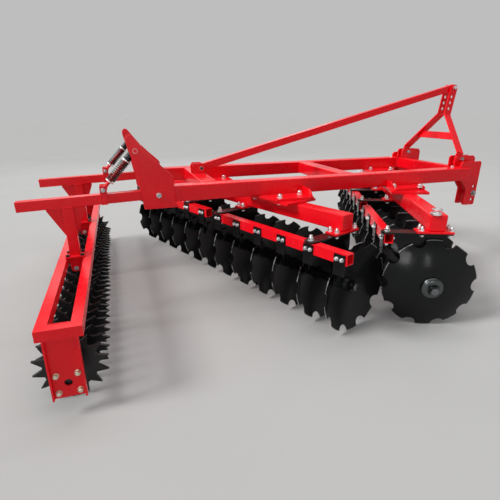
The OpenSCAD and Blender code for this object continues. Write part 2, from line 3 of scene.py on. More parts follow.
import bpy
import numpy as np
from mathutils import Matrix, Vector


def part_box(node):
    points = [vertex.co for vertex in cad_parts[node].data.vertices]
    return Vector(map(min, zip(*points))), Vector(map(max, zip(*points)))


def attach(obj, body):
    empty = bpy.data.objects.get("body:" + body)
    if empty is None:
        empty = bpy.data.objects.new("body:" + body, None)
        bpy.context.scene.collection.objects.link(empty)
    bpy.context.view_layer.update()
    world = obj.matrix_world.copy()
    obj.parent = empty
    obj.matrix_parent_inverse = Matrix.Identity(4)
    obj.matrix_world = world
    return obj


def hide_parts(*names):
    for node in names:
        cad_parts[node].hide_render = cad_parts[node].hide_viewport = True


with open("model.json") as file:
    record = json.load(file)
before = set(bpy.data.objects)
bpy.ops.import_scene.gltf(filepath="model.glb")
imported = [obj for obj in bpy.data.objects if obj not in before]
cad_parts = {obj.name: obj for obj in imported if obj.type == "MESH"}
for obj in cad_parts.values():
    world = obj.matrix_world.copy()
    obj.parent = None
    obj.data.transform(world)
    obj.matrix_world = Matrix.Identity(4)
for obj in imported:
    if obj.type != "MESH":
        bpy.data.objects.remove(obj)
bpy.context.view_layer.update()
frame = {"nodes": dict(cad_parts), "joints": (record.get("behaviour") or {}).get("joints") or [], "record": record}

# All sizes are in metres. The machine's own X runs forwards from a zero near the rear ends of the
# frame beams, Y runs to its left and Z up from the ground; row() carries a place on it into the
# frame's coordinates.
BEAM_FRONT = 2.352
BEAM_Y = 0.409
BEAM_SIZE = 0.100
BEAM_TOP = 0.845
BEAM_BOTTOM = BEAM_TOP - BEAM_SIZE
ORIGIN_X = BEAM_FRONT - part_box("frame_beam_right")[1].x
UP = (0, 0, 1)
DOWN = (0, 0, -1)
SIDES = (-1, 1)

# The camera stands where the photograph's camera stood; its angles are in degrees, its lens in mm
CAMERA_PLACE = (-0.2823, -2.9145, 1.2879)
CAMERA_TURN = 18.04
CAMERA_TILT = 19.56
CAMERA_ROLL = -0.32
CAMERA_LENS = 28.48

# Gangs: places are n, forwards across the gang's line, and s, along it
DISC_PITCH = 0.217
DISC_COUNT = 12
SECTION_DISCS = 6
WORN_RIM = (0.2745, 0.2785)
SHAFT_Z = 0.280
HANGER_DISCS = (0, 4, 6, 10)
GANG_TOP = 0.7127
GANG_BOTTOM = 0.6147
CLAMP_BOLT_N = 0.092
CLAMP_BOLT_S = 0.124
FOOT_BOLT_N = 0.083
FOOT_BOLT_S = (-0.026, 0.023)
FOOT_FLANGE_BOTTOM = 0.5927
FLANGE_TOP = 0.6027
BAR_BOTTOM = 0.5307
BAR_BACK = 0.292
BAR_WIDTH = 0.054
BAR_BOLT_N = -0.274
BRACKET = 0.006
BRACKET_BOLT_S = 0.017
BRACKET_BOLT_Z = 0.558
END_COLLARS = ((0.022, -1.160), (-0.018, -1.258), (0.022, 0.840), (-0.018, 0.940))

# Places on the frame as (x, y, z) on its left side or middle
MAST_FOOT = (2.345, 0.3235, 0.903)
MAST_TIP = (2.467, 0, 1.4509)
BRACE_FOOT = (0.285, 0, 0.888)
LINK_HOLE = (2.447, 0.432, 0.634)
BEAM_TOP_BOLT = (2.239, 0.385, BEAM_TOP)
ROD_FOOT = (-0.387, BEAM_Y, 0.843)
ROD_HEAD = (-0.184, BEAM_Y, 1.064)
ARM_PIN_X = -0.070
ARM_PIN_Z = 0.798
ARM_PIN_REACH = 0.060
CROSS_TUBES = ((0.220, 0.325), (1.248, 1.353), (BEAM_FRONT - 0.060, BEAM_FRONT))
LINK_PLATE_REAR = 2.285
LINK_PLATE_LOW = 0.762
SIDE_PLATE_REAR = -0.020
SIDE_PLATE_FRONT = 0.028
BRACE_LUG_SPAN = (0.225, 0.320)
BRACE_LUG_FACES = (0.027, 0.039)

# Heights over a spring rod's lower pin, along the rod
LOWER_WASHER = 0.058
SPRING_LOW = 0.070
SPRING_LENGTH = 0.142
UPPER_WASHER = 0.216
BUSH = 0.224
ROD_NUT = 0.326
ROD_TIP = 0.339

# The roller, its frame and its two posts
ROLLER_X = -0.594
ROLLER_Z = 0.170
BEARING_FACE = 1.305
BEARING_BOLT = 0.044
RAIL_TOP = 0.447
POST_PLATE_TOP = RAIL_TOP + 0.010
POST_PLATE = (0.053, 0.048)
POST_BOLTS = (0.041, 0.036)
POST_HALF = 0.029
LUG_X = ROLLER_X - 0.006
LUG_Z = 0.368
ARM_BOTTOM = 0.7525
GUSSET_HALF = 0.005
GUSSET_LOW = 0.575
GUSSET_TOPS = (((-0.118, 0.0037), (-0.030, 0.0009)), ((0.030, -0.0009), (0.092, -0.0029)))
END_PLATE_EDGE = (0.071, 1.323, 1.299, 0.397)
END_RAIL = (0.045, 1.275)


def row(x, y, z):
    """A place on the machine in the frame's coordinates."""
    return np.array([x - ORIGIN_X, y, z])


def mirrored(place):
    """The place on the machine's right side and on its left, each with its side."""
    x, y, z = place
    return [(row(x, side * y, z), side) for side in SIDES]


class Gang:
    """The line of one gang: a point on it, its direction s and the level direction n across it.
    first is the first disc's place along the line; hanger and scraper are how far past their discs
    the hangers and the scraper brackets stand."""

    def __init__(self, joint, first, hanger, scraper):
        spin = next(j for j in frame["joints"] if j["name"] == joint)
        self.s_axis = np.array(spin["axis"], float)
        self.n_axis = np.array([self.s_axis[1], -self.s_axis[0], 0.0])
        pos = np.array(spin["pos_m"], float)
        self.start = pos - self.s_axis * pos[1] / self.s_axis[1]
        self.start[2] = 0
        self.first = first
        self.hangers = [self.disc(k) + hanger for k in HANGER_DISCS]
        self.brackets = [self.disc(k) + scraper for k in range(DISC_COUNT)]
        self.crossings = [side * BEAM_Y / self.s_axis[1] for side in SIDES]

    def disc(self, k):
        """Where disc k stands along the line, counted from the right end."""
        return self.first + k * DISC_PITCH

    def at(self, n, s, z):
        """The place n across and s along the gang's line, at height z."""
        return self.start + n * self.n_axis + s * self.s_axis + np.array([0, 0, z])

    def on_shaft(self, dish, way, foot, spin=0.0):
        """Where a part stands on the shaft: its foot past the dish at s = dish, to the side that
        way points to."""
        return self.at(0, dish + way * foot, SHAFT_Z), way * self.s_axis, spin


front = Gang("gang_front_right_spin", first=-1.314, hanger=0.080, scraper=0.096)
rear = Gang("gang_rear_right_spin", first=-1.071, hanger=0.063, scraper=-0.155)


def grid_faces(rows, columns):
    """Quads between neighbouring rows of a grid whose columns close into a ring."""
    i, j = np.meshgrid(np.arange(rows - 1), np.arange(columns), indexing="ij")
    k = (j + 1) % columns
    low, high = i * columns, (i + 1) * columns
    return np.stack([low + j, low + k, high + k, high + j], axis=-1).reshape(-1, 4).tolist()


def closed_skin(rings):
    """Rings of points, shape (rows, columns, 3), joined by quads and closed by a flat face at
    each end."""
    rows, columns = rings.shape[:2]
    ends = [list(range(columns))[::-1], list(range((rows - 1) * columns, rows * columns))]
    return rings.reshape(-1, 3), grid_faces(rows, columns) + ends


def turned(profile, across_flats=None, sides=24, corners=6):
    """A profile of (radius, height) carried round Z. With across_flats, each ring's radius at an
    angle is the smaller of the profile's and the polygon's: half the flats over the cosine of the
    angle from the nearest flat's middle."""
    radius, height = np.array(profile, float).T
    angle = np.arange(sides) * 2 * np.pi / sides
    reach = np.repeat(radius[:, None], sides, axis=1)
    if across_flats:
        part = 2 * np.pi / corners
        flat = across_flats / 2 / np.cos(np.mod(angle, part) - part / 2)
        reach = np.minimum(reach, flat[None, :])
    level = np.repeat(height[:, None], sides, axis=1)
    return closed_skin(np.stack([reach * np.cos(angle), reach * np.sin(angle), level], axis=-1))


def joined(*parts):
    """Several (points, faces) pairs as one."""
    points, faces, count = [], [], 0
    for part_points, part_faces in parts:
        points.append(part_points)
        faces += [[count + i for i in face] for face in part_faces]
        count += len(part_points)
    return np.concatenate(points), faces


def lifted(part, height):
    """A (points, faces) pair moved up its own Z."""
    return part[0] + np.array([0, 0, height]), part[1]


def hex_head(flats, height):
    """A six-sided head whose corners are cut by a shallow cone at the top."""
    corner = flats / 2 / np.cos(np.pi / 6)
    chamfer = (corner - flats / 2) * 0.9
    top = flats / 2 * 0.96
    return turned([(corner, 0), (corner, height - chamfer * 0.6), (top, height)], flats)


def washer(radius, thickness):
    """A flat ring with a small edge round, closed because a bolt fills its bore."""
    edge = thickness * 0.3
    return turned([(radius - edge, 0), (radius, edge), (radius, thickness - edge),
        (radius - edge, thickness)])


def thread_end(radius, length, pitch=0.002):
    """A rod end whose radius swings by a third of the pitch along its length, as a cosine of the
    height, four rings to a turn, and is cut to 0.82 of itself at the tip."""
    steps = max(4, int(length / pitch * 4))
    height = np.linspace(0, length, steps)
    wave = radius - pitch * 0.17 * (1 + np.cos(2 * np.pi * height / pitch))
    profile = np.stack([wave, height], axis=1)
    profile[-1, 0] = radius * 0.82
    return turned(profile, sides=16)


def bolt(flats, height, disc, plate):
    """A washer of radius disc and thickness plate with a bolt's head on it, standing on Z = 0."""
    return joined(washer(disc, plate), lifted(hex_head(flats, height), plate))


def nut(flats, height, disc, plate, rod, tail):
    """Washer, nut and the bolt's thread, of radius rod, which shows past the nut by tail."""
    return joined(bolt(flats, height, disc, plate), lifted(thread_end(rod, height + tail), plate))


def basis(axis, spin=0.0):
    """Rows that turn a part's own X, Y and Z to the given axis, spun about it."""
    z = np.array(axis, float)
    z /= np.linalg.norm(z)
    side = np.cross(UP, z) if abs(z[2]) < 0.9 else np.array([0, 1.0, 0])
    x = side / np.linalg.norm(side)
    y = np.cross(z, x)
    c, s = np.cos(spin), np.sin(spin)
    return np.stack([c * x + s * y, c * y - s * x, z])


def stamped(part, places):
    """A copy of the part at each (origin, axis, spin): the origin plus the part's points times
    the basis's rows."""
    return joined(*[(part[0] @ basis(axis, spin) + origin, part[1])
        for origin, axis, spin in places])


def weld(places, radius=0.004):
    """A bead along each (start, end): a round section whose radius swells by a seventh every 6 mm,
    as the ripples of a weld do, and shrinks to a third over the last 5 mm at both ends."""
    step, ripple, end_length = 0.002, 0.006, 0.005
    beads = []
    corner = np.arange(6) * np.pi / 3
    for start, end in places:
        length = np.linalg.norm(end - start)
        x, y, z = basis(end - start)
        run = np.linspace(0, length, max(5, int(length / step)))
        swell = 1 + 0.14 * np.cos(2 * np.pi * run / ripple)
        taper = np.clip(np.minimum(run, length - run) / end_length, 0, 1) * 0.67 + 0.33
        ring = np.cos(corner)[:, None] * x + np.sin(corner)[:, None] * y
        reach = (radius * swell * taper)[:, None, None]
        beads.append(closed_skin(start + run[:, None, None] * z + reach * ring))
    return joined(*beads)


def placed(name, data):
    """An object of the data, in the scene."""
    thing = bpy.data.objects.new(name, data)
    bpy.context.scene.collection.objects.link(thing)
    return thing


def mesh_piece(name, part, material, body="frame", smooth=30.0):
    """A mesh object from a (points, faces) pair, which rides on a body and takes a slot's finish.
    Edges flatter than smooth degrees are shaded round."""
    mesh = bpy.data.meshes.new(name)
    mesh.from_pydata(np.asarray(part[0]).tolist(), [], part[1])
    mesh.validate()
    mesh.materials.append(material)
    piece = placed(name, mesh)
    mesh.shade_smooth()
    mesh.set_sharp_from_angle(angle=np.radians(smooth))
    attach(piece, body)
    return piece


def noise(tree, scale, detail, roughness=0.5):
    """A noise texture on Object coordinates."""
    place = tree.nodes.new("ShaderNodeTexCoord")
    texture = tree.nodes.new("ShaderNodeTexNoise")
    texture.inputs["Scale"].default_value = scale
    texture.inputs["Detail"].default_value = detail
    texture.inputs["Roughness"].default_value = roughness
    tree.links.new(place.outputs["Object"], texture.inputs["Vector"])
    return texture.outputs["Fac"]


def ranged(tree, value, low, high, to_low=0.0, to_high=1.0):
    """The value's range low..high carried to to_low..to_high."""
    node = tree.nodes.new("ShaderNodeMapRange")
    for key, number in (("From Min", low), ("From Max", high), ("To Min", to_low),
            ("To Max", to_high)):
        node.inputs[key].default_value = number
    tree.links.new(value, node.inputs["Value"])
    return node.outputs["Result"]


def mixed(tree, share, first, second):
    """Two colours, or a link and a colour, mixed by a share."""
    node = tree.nodes.new("ShaderNodeMix")
    node.data_type = "RGBA"
    tree.links.new(share, node.inputs["Factor"])
    for key, colour in (("A", first), ("B", second)):
        socket = next(s for s in node.inputs if s.name == key and s.type == "RGBA")
        if isinstance(colour, tuple):
            socket.default_value = colour + (1.0,)
        else:
            tree.links.new(colour, socket)
    return next(s for s in node.outputs if s.type == "RGBA")


def times(tree, first, second):
    """The product of two links."""
    node = tree.nodes.new("ShaderNodeMath")
    node.operation = "MULTIPLY"
    tree.links.new(first, node.inputs[0])
    tree.links.new(second, node.inputs[1])
    return node.outputs[0]


def height_of(tree, node, output):
    """The Z of a direction or place that a new node of the kind gives."""
    source = tree.nodes.new(node)
    parts = tree.nodes.new("ShaderNodeSeparateXYZ")
    tree.links.new(source.outputs[output], parts.inputs[0])
    return parts.outputs["Z"]


def facing_up(tree):
    """1 on level surfaces, 0 on upright ones and undersides."""
    return ranged(tree, height_of(tree, "ShaderNodeNewGeometry", "Normal"), 0.3, 1.0)


def nearness_to_floor(tree, top):
    """1 on the floor, 0 at the height top and over it."""
    return ranged(tree, height_of(tree, "ShaderNodeTexCoord", "Object"), 0.0, top, 1.0, 0.0)


def bumped(tree, shader, height, distance):
    """A bump from the height on the shader's normal."""
    node = tree.nodes.new("ShaderNodeBump")
    node.inputs["Distance"].default_value = distance
    tree.links.new(height, node.inputs["Height"])
    tree.links.new(node.outputs["Normal"], shader.inputs["Normal"])


def glossed(tree, shader, value, low, high):
    """The shader's roughness, from low to high as the value goes from 0.3 to 0.7."""
    tree.links.new(ranged(tree, value, 0.3, 0.7, low, high), shader.inputs["Roughness"])


def new_material(name):
    """A material with its tree and its Principled shader."""
    material = bpy.data.materials.new(name)
    material.use_nodes = True
    return material, material.node_tree, material.node_tree.nodes["Principled BSDF"]


def clouded(tree, colour, shade):
    """A slow change between a colour and its shade, in clouds of some 250 mm."""
    cloud = ranged(tree, noise(tree, scale=4.0, detail=3.0), 0.35, 0.65)
    return mixed(tree, cloud, colour, shade)


def dust_and_sheen_patches(tree, share):
    """Patches of some 70 mm, which cover a share of the colour at most: fine dust, and on the red enamel's
    up-facing faces a painted sheen.
    """
    patches = noise(tree, scale=14.0, detail=4.0, roughness=0.6)
    return ranged(tree, patches, 0.40, 0.72, 0.0, share)


def sprayed(tree, shader, low, high, specular):
    """The gloss of sprayed enamel: smears of roughness over a shallow orange peel."""
    glossed(tree, shader, noise(tree, scale=9.0, detail=5.0, roughness=0.6), low, high)
    shader.inputs["Specular IOR Level"].default_value = specular
    bumped(tree, shader, noise(tree, scale=150.0, detail=2.0), 0.000015)


def enamel(name, colour, shade, dust_and_sheen, share, rough, specular, dust_height):
    """Sprayed enamel in a clouded colour, with a share of a second colour in patches on what faces up
    and on what is near the floor: grey dust on the black enamels, and on the red a lighter pink,
    which on the faces that look up is a painted sheen."""
    material, tree, shader = new_material(name)
    film = dust_and_sheen_patches(tree, share)
    base = clouded(tree, colour, shade)
    # The second colour goes on up-facing faces and near the floor; on the red enamel it is a lighter pink, a
    # painted sheen on the up-facing faces.
    for where in (facing_up(tree), nearness_to_floor(tree, dust_height)):
        base = mixed(tree, times(tree, film, where), base, dust_and_sheen)
    tree.links.new(base, shader.inputs["Base Color"])
    sprayed(tree, shader, rough * 0.75, rough * 1.3, specular)
    return material


def zinc_plate(name, colour, rough):
    """Plated metal: a soft spangle in its gloss and fine drawn marks."""
    material, tree, shader = new_material(name)
    shader.inputs["Metallic"].default_value = 1.0
    spangle = ranged(tree, noise(tree, scale=90.0, detail=3.0), 0.3, 0.7)
    dull = tuple(c * 0.72 for c in colour)
    tree.links.new(mixed(tree, spangle, colour, dull), shader.inputs["Base Color"])
    glossed(tree, shader, noise(tree, scale=260.0, detail=3.0), rough * 0.7, rough * 1.3)
    bumped(tree, shader, noise(tree, scale=700.0, detail=2.0), 0.00004)
    return material


def casting(name, colour, shade, rough):
    """Black paint over sand-cast iron, with its grain in the bump."""
    material, tree, shader = new_material(name)
    cloud = ranged(tree, noise(tree, scale=9.0, detail=5.0), 0.35, 0.7)
    tree.links.new(mixed(tree, cloud, colour, shade), shader.inputs["Base Color"])
    glossed(tree, shader, noise(tree, scale=40.0, detail=4.0), rough * 0.75, rough * 1.25)
    shader.inputs["Specular IOR Level"].default_value = 0.4
    bumped(tree, shader, noise(tree, scale=320.0, detail=4.0, roughness=0.6), 0.0003)
    return material


def reach_from_shaft(tree, gang):
    """The distance from the gang's shaft: the length of a place's parts across the line and up,
    after a turn that lays the line on Y."""
    place = tree.nodes.new("ShaderNodeTexCoord")
    mapping = tree.nodes.new("ShaderNodeMapping")
    turn = np.arctan2(gang.s_axis[0], gang.s_axis[1])
    mapping.inputs["Rotation"].default_value = (0.0, 0.0, turn)
    mapping.inputs["Location"].default_value = (-gang.start @ gang.n_axis, 0.0, -SHAFT_Z)
    across = tree.nodes.new("ShaderNodeVectorMath")
    across.operation = "MULTIPLY"
    across.inputs[1].default_value = (1.0, 0.0, 1.0)
    reach = tree.nodes.new("ShaderNodeVectorMath")
    reach.operation = "LENGTH"
    tree.links.new(place.outputs["Object"], mapping.inputs["Vector"])
    tree.links.new(mapping.outputs["Vector"], across.inputs[0])
    tree.links.new(across.outputs["Vector"], reach.inputs[0])
    return reach.outputs["Value"]


def disc_enamel(name, gang):
    """Black enamel on the dishes, worn in patches to dull steel over the 4 mm of the ground rim."""
    material, tree, shader = new_material(name)
    base = clouded(tree, (0.0035, 0.0040, 0.0045), (0.0065, 0.0070, 0.0075))
    low = times(tree, dust_and_sheen_patches(tree, 0.05), nearness_to_floor(tree, 0.3))
    dusty = mixed(tree, low, base, DUST)
    rim = ranged(tree, reach_from_shaft(tree, gang), *WORN_RIM)
    rubbed = ranged(tree, noise(tree, scale=26.0, detail=4.0, roughness=0.6), 0.38, 0.58, 0.0, 0.9)
    worn = mixed(tree, times(tree, rim, rubbed), dusty, (0.30, 0.305, 0.31))
    tree.links.new(worn, shader.inputs["Base Color"])
    sprayed(tree, shader, 0.13, 0.24, 0.22)
    return material


DUST = (0.05, 0.047, 0.043)
# The red's second colour, a lighter pink, is painted sheen on its up-facing faces and also lies near the floor.
RED = enamel("red_enamel", (0.86, 0.0036, 0.0125), (0.80, 0.0031, 0.0108),
    dust_and_sheen=(0.80, 0.09, 0.09), share=0.05, rough=0.24, specular=0.28, dust_height=0.4)
BLACK = enamel("black_enamel", (0.0045, 0.0045, 0.005), (0.008, 0.008, 0.009),
    dust_and_sheen=DUST, share=0.10, rough=0.26, specular=0.22, dust_height=0.4)
DISCS_FRONT = disc_enamel("disc_enamel_front", front)
DISCS_REAR = disc_enamel("disc_enamel_rear", rear)
CAST = casting("black_casting", (0.006, 0.006, 0.007), (0.013, 0.0125, 0.0125), rough=0.34)
HUB = zinc_plate("black_plate", (0.115, 0.125, 0.125), rough=0.22)
TIP = zinc_plate("dark_steel", (0.20, 0.21, 0.22), rough=0.30)
ZINC = zinc_plate("zinc_plate", (0.88, 0.89, 0.90), rough=0.36)
YELLOW_ZINC = zinc_plate("yellow_zinc", (0.78, 0.73, 0.58), rough=0.32)
STEEL = zinc_plate("grey_zinc", (0.42, 0.43, 0.44), rough=0.34)
SPRING = enamel("spring_enamel", (0.003, 0.003, 0.0035), (0.005, 0.005, 0.0055),
    dust_and_sheen=(0.03, 0.03, 0.03), share=0.05, rough=0.26, specular=0.28, dust_height=0.2)

SLOT_FINISH = {"red_paint": RED, "black_paint": BLACK, "disc_paint": DISCS_FRONT,
    "black_cast": CAST, "zinc": ZINC}

# The radius that each node's sharp edges get, where they get one
TUBE_EDGE, RAIL_EDGE, PLATE_EDGE = 0.008, 0.004, 0.0012
EDGES = {
    TUBE_EDGE: ("frame_beam_right", "frame_beam_left", "rear_cross_tube", "middle_cross_tube",
        "front_cross_tube", "gang_beam_front", "gang_beam_rear"),
    RAIL_EDGE: ("top_brace", "roller_arms", "roller_frame"),
    PLATE_EDGE: ("link_plates_right", "link_plates_left", "mast_plate_right", "mast_plate_left",
        "mast_crossbar", "brace_lug", "clamp_plates_front", "clamp_plates_rear",
        "foot_plates_front", "foot_plates_rear", "hangers_front", "hangers_rear",
        "scrapers_front", "scrapers_rear", "side_plates_right", "side_plates_left", "arm_straps",
        "roller_posts", "roller_bearings", "scraper_bars_front", "scraper_bars_rear"),
}


def rounded_edges(piece, width):
    """Modifiers that merge the node's loose triangles, dissolve flat faces into one and bevel the
    edges sharper than 40 degrees."""
    merge = piece.modifiers.new("merge", "WELD")
    merge.merge_threshold = 0.00002
    flats = piece.modifiers.new("flats", "DECIMATE")
    flats.decimate_type = "DISSOLVE"
    flats.angle_limit = np.radians(0.5)
    edge = piece.modifiers.new("edge", "BEVEL")
    edge.width = width
    edge.segments = 2
    edge.limit_method = "ANGLE"
    edge.angle_limit = np.radians(40)
    even = piece.modifiers.new("even", "WEIGHTED_NORMAL")
    even.keep_sharp = True
    piece.data.shade_smooth()


def finish_nodes():
    """Every node gets the finish of its slot, and tubes, rails and plates get rounded edges."""
    for part in frame["record"]["subparts"]:
        name = part["node"]
        finish = SLOT_FINISH[part["material_slot"]]
        if finish is DISCS_FRONT and "rear" in name:
            finish = DISCS_REAR
        piece = frame["nodes"][name]
        piece.data.materials.clear()
        piece.data.materials.append(finish)
        for width, names in EDGES.items():
            if name in names:
                rounded_edges(piece, width)


# Bolts that were done up by hand stand at uneven angles. Each spin below is a plain sum of the
# bolt's own place, which gives such angles without chance.

def clamp_bolts():
    """Nuts over and heads under the four clamp plates."""
    nuts, heads = [], []
    for gang in (front, rear):
        for crossing in gang.crossings:
            for n in (-CLAMP_BOLT_N, CLAMP_BOLT_N):
                for s in (-CLAMP_BOLT_S, CLAMP_BOLT_S):
                    nuts.append((gang.at(n, crossing + s, BEAM_BOTTOM), UP, 7 * n + s))
                    heads.append((gang.at(n, crossing + s, GANG_TOP), DOWN, n + 5 * s))
    over = nut(flats=0.030, height=0.016, disc=0.021, plate=0.003, rod=0.010, tail=0.006)
    under = bolt(flats=0.030, height=0.0125, disc=0.020, plate=0.0025)
    mesh_piece("clamp_bolts", joined(stamped(over, nuts), stamped(under, heads)), ZINC)


def foot_bolts():
    """Four bolts through each hanger's foot plate and flange, beside the gang beam."""
    nuts, heads = [], []
    for gang in (front, rear):
        for hanger in gang.hangers:
            for n in (-FOOT_BOLT_N, FOOT_BOLT_N):
                for s in FOOT_BOLT_S:
                    nuts.append((gang.at(n, hanger + s, GANG_BOTTOM), UP, n + s))
                    heads.append((gang.at(n, hanger + s, FOOT_FLANGE_BOTTOM), DOWN, 3 * n + s))
    over = nut(flats=0.024, height=0.0125, disc=0.0165, plate=0.0025, rod=0.008, tail=0.012)
    under = bolt(flats=0.024, height=0.010, disc=0.0165, plate=0.0025)
    mesh_piece("foot_bolts", joined(stamped(over, nuts), stamped(under, heads)), ZINC)


def bar_bolts():
    """The upright bolt through each hanger's flange and the scraper bar, its nut on top."""
    nuts, heads = [], []
    for gang in (front, rear):
        for hanger in gang.hangers:
            nuts.append((gang.at(BAR_BOLT_N, hanger, FLANGE_TOP), UP, 3 * hanger))
            heads.append((gang.at(BAR_BOLT_N, hanger, BAR_BOTTOM), DOWN, hanger))
    over = nut(flats=0.027, height=0.015, disc=0.0185, plate=0.003, rod=0.009, tail=0.014)
    under = bolt(flats=0.027, height=0.0115, disc=0.0185, plate=0.003)
    mesh_piece("bar_bolts", joined(stamped(over, nuts), stamped(under, heads)), ZINC)


def bracket_bolts():
    """Two bolts from each scraper bracket through the bar, their nuts behind."""
    nuts, heads = [], []
    for gang in (front, rear):
        for place in gang.brackets:
            for s in (-BRACKET_BOLT_S, BRACKET_BOLT_S):
                behind = gang.at(-BAR_BACK - BRACKET, place + s, BRACKET_BOLT_Z)
                ahead = gang.at(-BAR_BACK + BAR_WIDTH, place + s, BRACKET_BOLT_Z)
                nuts.append((behind, -gang.n_axis, 9 * place + s))
                heads.append((ahead, gang.n_axis, 5 * place + s))
    back = nut(flats=0.019, height=0.009, disc=0.012, plate=0.002, rod=0.006, tail=0.004)
    face = bolt(flats=0.019, height=0.008, disc=0.0125, plate=0.002)
    mesh_piece("bracket_bolts", joined(stamped(back, nuts), stamped(face, heads)), ZINC)


def cross_bolts(places, half, flats, height, rod, disc=None):
    """At each (place, way), head and nut at half the clamped width to both sides along Y, the head
    on the side that way points to, with washers of the radius disc or close to the flats."""
    plate, tail, head_spin, nut_spin = 0.003, 0.004, 0.3, 0.8
    disc = disc or flats * 0.56
    heads, nuts = [], []
    for place, way in places:
        aside = np.array([0, way * half, 0])
        heads.append((place + aside, (0, way, 0), head_spin))
        nuts.append((place - aside, (0, -way, 0), nut_spin))
    return joined(stamped(bolt(flats, height, disc, plate), heads),
        stamped(nut(flats, height * 1.2, disc, plate, rod, tail), nuts))


def mast_bolts():
    """Bolts of the mast's feet, of its tip and of the brace's rear end."""
    feet = cross_bolts(mirrored(MAST_FOOT), half=0.0358, flats=0.024, height=0.013, rod=0.012)
    mesh_piece("mast_bolts", feet, STEEL)
    tip = cross_bolts([(row(*MAST_TIP), -1)], half=0.042, flats=0.024, height=0.013, rod=0.011)
    mesh_piece("mast_tip_bolt", tip, ZINC)
    brace = cross_bolts([(row(*BRACE_FOOT), -1)], half=0.039, flats=0.022, height=0.012,
        rod=0.010)
    mesh_piece("brace_foot_bolt", brace, YELLOW_ZINC)


def link_pins():
    """A pin through the middle hole of each pair of link plates, its washer outside."""
    shank, shank_inner, chamfer = 0.0135, -0.100, 0.0115
    pin = turned([(shank, shank_inner), (shank, 0.019), (chamfer, 0.022)])
    part = joined(pin, washer(radius=0.022, thickness=0.005))
    places = [(place, (0, side, 0), 0.0) for place, side in mirrored(LINK_HOLE)]
    mesh_piece("link_pins", stamped(part, places), STEEL)


def arm_bolts():
    """The ends of the pins that the arms swing on, the strap bolts at the rods' feet and, in the
    frame's red, the bolts at the rods' heads."""
    pin_end = turned([(0.0145, 0), (0.0145, 0.0165), (0.0125, 0.0190), (0.0060, 0.0198)])
    ends = [(row(ARM_PIN_X, side * (BEAM_Y + way * ARM_PIN_REACH), ARM_PIN_Z),
        (0, side * way, 0), 0.0) for side in SIDES for way in (-1, 1)]
    straps = cross_bolts(mirrored(ROD_FOOT), half=0.037, flats=0.019, height=0.010, rod=0.008,
        disc=0.0135)
    mesh_piece("arm_bolts", joined(stamped(pin_end, ends), straps), STEEL)
    swivels = cross_bolts(mirrored(ROD_HEAD), half=0.060, flats=0.024, height=0.006, rod=0.010)
    mesh_piece("swivel_bolts", swivels, RED)


def beam_bolts():
    """Flat collars with a recess near both ends of the front gang beam's top, and a bolt on top of
    each frame beam."""
    collar = turned([(0.030, 0), (0.031, 0.0015), (0.031, 0.0095), (0.029, 0.0115),
        (0.0165, 0.0115), (0.0150, 0.0100), (0.0150, 0.0020)], sides=32)
    collars = [(front.at(n, s, GANG_TOP), UP, 4 * s) for n, s in END_COLLARS]
    heads = [(place, UP, 0.4) for place, side in mirrored(BEAM_TOP_BOLT)]
    head = bolt(flats=0.022, height=0.009, disc=0.015, plate=0.003)
    mesh_piece("beam_bolts", joined(stamped(collar, collars), stamped(head, heads)), ZINC)


def roller_bolts():
    """The four bolts of each roller bearing, the bolt in each post's lug and those of its plate."""
    nuts = [(row(ROLLER_X + a, side * BEARING_FACE, ROLLER_Z + b), (0, side, 0), 4 * a + b)
        for side in SIDES for a in (-BEARING_BOLT, BEARING_BOLT)
        for b in (-BEARING_BOLT, BEARING_BOLT)]
    bearing = nut(flats=0.021, height=0.011, disc=0.0135, plate=0.0025, rod=0.007, tail=0.004)
    mesh_piece("bearing_bolts", stamped(bearing, nuts), YELLOW_ZINC)
    lugs = cross_bolts(mirrored((LUG_X, BEAM_Y, LUG_Z)), half=0.006, flats=0.024, height=0.010,
        rod=0.008)
    mesh_piece("lug_bolts", lugs, ZINC)
    along, aside = POST_BOLTS
    feet = [(row(ROLLER_X + a, side * BEAM_Y + b, POST_PLATE_TOP), UP, 9 * a + b)
        for side in SIDES for a in (-along, along) for b in (-aside, aside)]
    head = bolt(flats=0.019, height=0.008, disc=0.0125, plate=0.002)
    mesh_piece("foot_plate_bolts", stamped(head, feet), BLACK)


